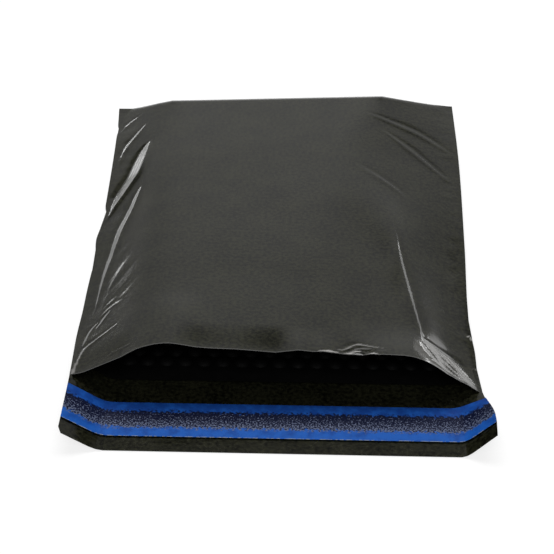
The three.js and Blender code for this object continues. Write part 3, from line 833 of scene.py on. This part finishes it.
def strip_on(node_name, name, columns, rows, width):
    """A flat strip laid on the upper face of one of the strips of the frame."""
    first = STRIP_MIDDLE - width / 2 + STRIP_MARGIN
    last = STRIP_MIDDLE + width / 2 - STRIP_MARGIN
    alongs = np.linspace(first, last, rows + 1)
    shares = np.linspace(0, 1, columns + 1)
    table = laid_table(tree_of(node_name), alongs, np.ones(rows + 1), shares)
    table[..., 2] = softened(table[..., 2], int(columns * STRIP_BEND / WIDTH))
    strip, index = flat_grid(name, columns, rows)
    shape = table.shape[:2]
    strip_across = np.broadcast_to(WIDTH * (shares - 0.5), shape)
    strip_along = np.broadcast_to((alongs - STRIP_MIDDLE)[:, None], shape)
    set_flat_uv(strip, index, strip_across, strip_along)
    return strip, index, table, strip_across, strip_along


adhesive, adhesive_index, adhesive_table = strip_on(
    "adhesive_band", "adhesive", ADHESIVE_COLUMNS, ADHESIVE_ROWS, ADHESIVE_WIDTH)[:3]
lay(adhesive, adhesive_index, adhesive_table)
thicken(adhesive, ADHESIVE_THICKNESS)
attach(adhesive, "root")
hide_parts("adhesive_band")
print("adhesive", len(adhesive.data.polygons), "faces")

# %% Release liner
LINER_WIDTH = 0.030
LINER_COLUMNS = 400
LINER_ROWS = 48
LINER_THICKNESS = 0.00008
CRINKLE = 0.00035
CRINKLE_LEVEL = 0.4
CRINKLES_PER_METRE = (380, 560)
FINER = 2.3
FINE_SHIFT = Vector((7, 3, 0))
WIDE_SHARE, FINE_SHARE = 0.6, 0.4
BAND_PAST = 0.001
BAND_FADE = 0.002

liner, liner_index, liner_table, liner_across, liner_along = strip_on(
    "release_liner", "liner", LINER_COLUMNS, LINER_ROWS, LINER_WIDTH)


def crinkle_at(x, along):
    """A height from 0 to 1 with sharp crests, drawn out along the strip."""
    place = Vector((x * CRINKLES_PER_METRE[0], along * CRINKLES_PER_METRE[1], 0))
    wide = 1 - abs(noise.noise(place))
    fine = 1 - abs(noise.noise(FINER * place + FINE_SHIFT))
    return WIDE_SHARE * wide * wide + FINE_SHARE * fine * fine


crinkles = np.array([
    [crinkle_at(x, along) for x, along in zip(row_x, row_along)]
    for row_x, row_along in zip(liner_across, liner_along)
])
band = smooth((ADHESIVE_WIDTH / 2 + BAND_PAST - np.abs(liner_along)) / BAND_FADE)
liner_table[..., 2] += CRINKLE * band * (crinkles - CRINKLE_LEVEL)
lay(liner, liner_index, liner_table)
thicken(liner, LINER_THICKNESS)
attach(liner, "root")
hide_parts("release_liner")
print("liner", len(liner.data.polygons), "faces")

# %% [markdown]
# ## Materials
# Every finish is made of nodes, with no picture of the film, so it has no seams and is sharp from close by.
# It is worked out in sums on the values that the nodes give, and one small class lets them be written as
# Python expressions.

# %% A socket that can be reckoned with
COLOUR_A, COLOUR_B, MIXED_COLOUR = 6, 7, 2


class Value:
    """A socket of a material, used in sums as if it were a number."""

    def __init__(self, tree, socket=None):
        self.tree = tree
        self.socket = socket

    def node(self, kind, settings=None, inputs=None, output=0):
        """Adds a node with its settings, then its values or links, and gives one of its outputs."""
        made = self.tree.nodes.new(kind)
        for name, value in (settings or {}).items():
            setattr(made, name, value)
        for name, value in (inputs or {}).items():
            if isinstance(value, Value):
                self.tree.links.new(value.socket, made.inputs[name])
            else:
                made.inputs[name].default_value = value
        return Value(self.tree, made.outputs[output])

    def math(self, operation, first, second=0.0):
        return self.node("ShaderNodeMath", {"operation": operation}, {0: first, 1: second})

    def __add__(self, other):
        return self.math("ADD", self, other)

    def __radd__(self, other):
        return self.math("ADD", other, self)

    def __sub__(self, other):
        return self.math("SUBTRACT", self, other)

    def __rsub__(self, other):
        return self.math("SUBTRACT", other, self)

    def __mul__(self, other):
        return self.math("MULTIPLY", self, other)

    def __rmul__(self, other):
        return self.math("MULTIPLY", other, self)

    def __abs__(self):
        return self.math("ABSOLUTE", self)

    def clouds(self, place, scale, detail):
        """Noise from 0 to 1 over a surface."""
        return self.node("ShaderNodeTexNoise", {}, {"Vector": place, "Scale": scale, "Detail": detail})

    def between(self, low, high):
        """0 below low, 1 above high, smooth between."""
        settings = {"interpolation_type": "SMOOTHSTEP"}
        return self.node("ShaderNodeMapRange", settings, {0: self, 1: low, 2: high})

    def mixed(self, first, second):
        """One of two colours, by this value."""
        inputs = {"Factor": self, COLOUR_A: first, COLOUR_B: second}
        return self.node("ShaderNodeMix", {"data_type": "RGBA"}, inputs, MIXED_COLOUR)


def new_material(name):
    """A material with one principled shader, and a Value that its nodes can start from."""
    material = bpy.data.materials.new(name)
    material.use_nodes = True
    tree = material.node_tree
    shader = next(node for node in tree.nodes if node.type == "BSDF_PRINCIPLED")
    return material, shader, Value(tree)


def feed(shader, name, value):
    """Links a value to one of the shader's sockets."""
    value.tree.links.new(value.socket, shader.inputs[name])


def dress(piece, material):
    """Gives a piece one material all over."""
    piece.data.materials.clear()
    piece.data.materials.append(material)
    print(piece.name, "dressed in", material.name)


# %% [markdown]
# ### Black film
# Polythene film is nearly black, a little warm, with a satin shine that mirrors the room. A faint grain
# breaks the mirror up. A painted highlight makes the film paler where the attribute carries one, and along
# the cut edge of the lip. The pattern follows the flat sheet through its UV map, so it bends with the film.

# %% Black film
FILM_DARK = (0.004, 0.0042, 0.0025, 1)
FILM_LIGHT = (0.025, 0.0255, 0.014, 1)
FILM_PAINTED_HIGHLIGHT = (0.55, 0.537, 0.52, 1)
FILM_EDGE_HIGHLIGHT = (0.09, 0.09, 0.085, 1)
FILM_EDGE_HIGHLIGHT_ENDS = (0.0003, 0.0009)
FILM_FLECKS = (0.32, 0.68)
FILM_ROUGHNESS = 0.08
FILM_IOR = 1.5

black, shader, value = new_material("black_film")
flat_place = value.node("ShaderNodeUVMap", {"uv_map": "UVMap"})
grain = value.clouds(flat_place, scale=420, detail=2)
cloud = value.clouds(flat_place, scale=45, detail=3)
from_lip = value.node("ShaderNodeSeparateXYZ", {}, {"Vector": flat_place}, "Y")
# Painted highlight along the edge of the lip
edge_highlight = 1 - from_lip.between(*FILM_EDGE_HIGHLIGHT_ENDS)
fleck = (0.7 * grain + 0.3 * cloud).between(*FILM_FLECKS)
# Painted highlight on the creases, read from the attribute
painted_highlight = value.node("ShaderNodeAttribute", {"attribute_name": "painted_highlight"}, {}, "Fac")
body = painted_highlight.mixed(fleck.mixed(FILM_DARK, FILM_LIGHT), FILM_PAINTED_HIGHLIGHT)
feed(shader, "Base Color", edge_highlight.mixed(body, FILM_EDGE_HIGHLIGHT))
feed(shader, "Roughness", FILM_ROUGHNESS + 0.04 * cloud + 0.05 * grain)
shader.inputs["IOR"].default_value = FILM_IOR
bump = value.node("ShaderNodeBump", {}, {"Strength": 0.1, "Distance": 0.0004, "Height": grain})
feed(shader, "Normal", bump)
dress(film, black)

# %% [markdown]
# ### Lining film and adhesive
# The lining is a dull black film, and the adhesive a dark glue with a slight blue cast. Both lie out of the
# light, so one soft noise for colour and roughness is enough.

# %% Lining film and adhesive
LINING_DARK = (0.0015, 0.0015, 0.0015, 1)
LINING_LIGHT = (0.0045, 0.0045, 0.0045, 1)
LINING_SHINE = 0.15
GLUE_DARK = (0.012, 0.015, 0.032, 1)
GLUE_LIGHT = (0.028, 0.035, 0.068, 1)


def hazy_material(name, scale, dark, light, smoothest, rougher):
    """A material whose colour and roughness vary together, over the whole piece."""
    material, shader, value = new_material(name)
    place = value.node("ShaderNodeTexCoord", {}, {}, "Object")
    haze = value.clouds(place, scale, detail=3)
    feed(shader, "Roughness", smoothest + rougher * haze)
    feed(shader, "Base Color", haze.mixed(dark, light))
    return material, shader


dull, shader = hazy_material(
    "bubble_film", scale=160, dark=LINING_DARK, light=LINING_LIGHT, smoothest=0.55, rougher=0.25)
shader.inputs["Specular IOR Level"].default_value = LINING_SHINE
dress(lining, dull)
dress(domes, dull)
glue, shader = hazy_material(
    "adhesive", scale=300, dark=GLUE_DARK, light=GLUE_LIGHT, smoothest=0.35, rougher=0.3)
dress(adhesive, glue)

# %% [markdown]
# ### Blue liner
# The liner is a blue film, mottled, with painted shade that darkens it towards the lip. Along its middle the
# adhesive shows through as a dark, speckled band with ragged edges. Its outer edge is cut, with a painted
# highlight where it catches the light in places.

# %% Blue liner
BLUE_DEEP = (0.007, 0.055, 0.29, 1)
BLUE_LIGHT = (0.014, 0.117, 0.51, 1)
BLUE_EDGE_HIGHLIGHT = (0.3, 0.36, 0.45, 1)
BAND_DARK = (0.004, 0.007, 0.03, 1)
BAND_SPECK = (0.14, 0.17, 0.27, 1)
BAND_ENDS = (0.006, 0.0084)
BAND_RAG = 0.011
SPECK_STEP = (0.53, 0.62)
SPECK_SLOPE = 12
BLUE_STEP = (0.28, 0.72)
BLUE_SHADE_SLOPE = 9
EDGE_HIGHLIGHT_STEP = (0.0142, 0.0146)
EDGE_HIGHLIGHT_BREAKS = (0.42, 0.6)
LINER_ROUGHNESS = 0.3
LINER_SHINE = 0.1

blue, shader, value = new_material("blue_liner")
flat_place = value.node("ShaderNodeUVMap", {"uv_map": "UVMap"})
outwards = value.node("ShaderNodeSeparateXYZ", {}, {"Vector": flat_place}, "Y")
rag = value.clouds(flat_place, scale=520, detail=5)
speck = value.clouds(flat_place, scale=1000, detail=3)
mottle = value.clouds(flat_place, scale=150, detail=4)
from_middle = abs(outwards) + BAND_RAG * (rag - 0.5)
dark_band = 1 - from_middle.between(*BAND_ENDS)
specks = (speck + SPECK_SLOPE * outwards).between(*SPECK_STEP)
band_colour = specks.mixed(BAND_DARK, BAND_SPECK)
# Painted shade: the blue darkens towards the lip, where the mouth shadows it, mixed with its mottle.
blue_mottle_and_shade = (mottle + BLUE_SHADE_SLOPE * outwards).between(*BLUE_STEP).mixed(BLUE_DEEP, BLUE_LIGHT)
colour = dark_band.mixed(blue_mottle_and_shade, band_colour)
# Painted highlight along the cut outer edge, broken up by the ragged noise
edge_highlight = outwards.between(*EDGE_HIGHLIGHT_STEP) * rag.between(*EDGE_HIGHLIGHT_BREAKS)
feed(shader, "Base Color", edge_highlight.mixed(colour, BLUE_EDGE_HIGHLIGHT))
feed(shader, "Roughness", LINER_ROUGHNESS + 0.25 * rag)
shader.inputs["Specular IOR Level"].default_value = LINER_SHINE
dress(liner, blue)

# %% [markdown]
# ## Floor and light
# The floor is a plain pale table. To the camera, and in what mirrors it or lets it through, it is white but
# for the object's shadow. In the light that it throws back on the object it is a plain grey, so that the
# white adds none. More light would whiten the floor too, but it would also grey the film.

# %% Floor
FLOOR_SIZE = 60
FLOOR_GAP = 0.0004
FLOOR_PLAIN = (0.7, 0.7, 0.7, 1)
FLOOR_SHADED = (0.3, 0.3, 0.3, 1)
FLOOR_GLOW = 0.79
WHITE = (1, 1, 1, 1)

bpy.ops.object.select_all(action="DESELECT")
bpy.ops.mesh.primitive_plane_add(size=FLOOR_SIZE, location=(0, 0, -FLOOR_GAP))
floor = bpy.context.object
floor.name = "floor"
bpy.ops.object.transform_apply(location=True)
table_top = bpy.data.materials.new("pale_floor")
table_top.use_nodes = True
nodes = table_top.node_tree.nodes
nodes.clear()
value = Value(table_top.node_tree)
seen = value.node("ShaderNodeLightPath", {}, {}, "Is Camera Ray")
mirrored = value.node("ShaderNodeLightPath", {}, {}, "Is Glossy Ray")
through = value.node("ShaderNodeLightPath", {}, {}, "Is Transmission Ray")
shown = value.math("MAXIMUM", value.math("MAXIMUM", seen, mirrored), through)
plain = value.node("ShaderNodeBsdfDiffuse", {}, {"Color": FLOOR_PLAIN})
shaded = value.node("ShaderNodeBsdfDiffuse", {}, {"Color": FLOOR_SHADED})
glow = value.node("ShaderNodeEmission", {}, {"Color": WHITE, "Strength": FLOOR_GLOW})
white = value.node("ShaderNodeAddShader", {}, {0: shaded, 1: glow})
mixed = value.node("ShaderNodeMixShader", {}, {0: shown, 1: plain, 2: white})
output = nodes.new("ShaderNodeOutputMaterial")
table_top.node_tree.links.new(mixed.socket, output.inputs["Surface"])
dress(floor, table_top)
print("floor", FLOOR_SIZE, "m wide")

# %% [markdown]
# The film mirrors the sky, so the sky gives the panel its tone: grey, brighter low down than overhead, and
# fading to both sides. A high and a frontal softbox fill in. Two thin strip lamps stand low behind the
# object, one on each side, where only the steep faces of the creases mirror them.

# %% World
SKY_HIGH = 0.12
SKY_LOW = 0.38
SKY_TURNS = (0.46, 0.62)
SKY_ASIDE = 0.42
SKY_LEAST = 0.1

world = bpy.data.worlds.new("studio")
scene.world = world
world.use_nodes = True
world.node_tree.nodes.clear()
value = Value(world.node_tree)
towards = value.node("ShaderNodeTexCoord", {}, {}, "Generated")
up = value.node("ShaderNodeSeparateXYZ", {}, {"Vector": towards}, "Z")
aside = value.node("ShaderNodeSeparateXYZ", {}, {"Vector": towards}, "X")
low_glow = SKY_LOW * (1 - up.between(*SKY_TURNS))
glow = value.math("MAXIMUM", SKY_HIGH + low_glow - SKY_ASIDE * abs(aside), SKY_LEAST)
sky = value.node("ShaderNodeBackground", {}, {"Color": WHITE, "Strength": glow})
output = world.node_tree.nodes.new("ShaderNodeOutputWorld")
world.node_tree.links.new(sky.socket, output.inputs["Surface"])
print("sky of", len(world.node_tree.nodes), "nodes")

# %% Lamps
LAMPS = [
    {"name": "high_softbox", "azimuth": 0, "elevation": 68,
     "distance": 1.7, "size": (1.8, 1.0), "power": 22},
    {"name": "front_softbox", "azimuth": 180, "elevation": 45,
     "distance": 1.6, "size": (1.0, 0.6), "power": 5},
    {"name": "left_low_strip", "azimuth": -27, "elevation": 1.4,
     "distance": 1.1, "size": (0.3, 0.045), "power": 0.22},
    {"name": "right_low_strip", "azimuth": 26, "elevation": 1.4,
     "distance": 1.1, "size": (0.3, 0.045), "power": 0.2},
]
for lamp in LAMPS:
    azimuth = math.radians(lamp["azimuth"])
    elevation = math.radians(lamp["elevation"])
    towards = Vector((
        math.sin(azimuth) * math.cos(elevation),
        math.cos(azimuth) * math.cos(elevation),
        math.sin(elevation),
    ))
    bpy.ops.object.light_add(type="AREA", location=lamp["distance"] * towards)
    light = bpy.context.object
    light.name = lamp["name"]
    light.rotation_euler = towards.to_track_quat("Z", "Y").to_euler()
    light.data.shape = "RECTANGLE"
    light.data.size, light.data.size_y = lamp["size"]
    light.data.energy = lamp["power"]
scene.view_settings.view_transform = "Standard"
print("lamps", [lamp["name"] for lamp in LAMPS])
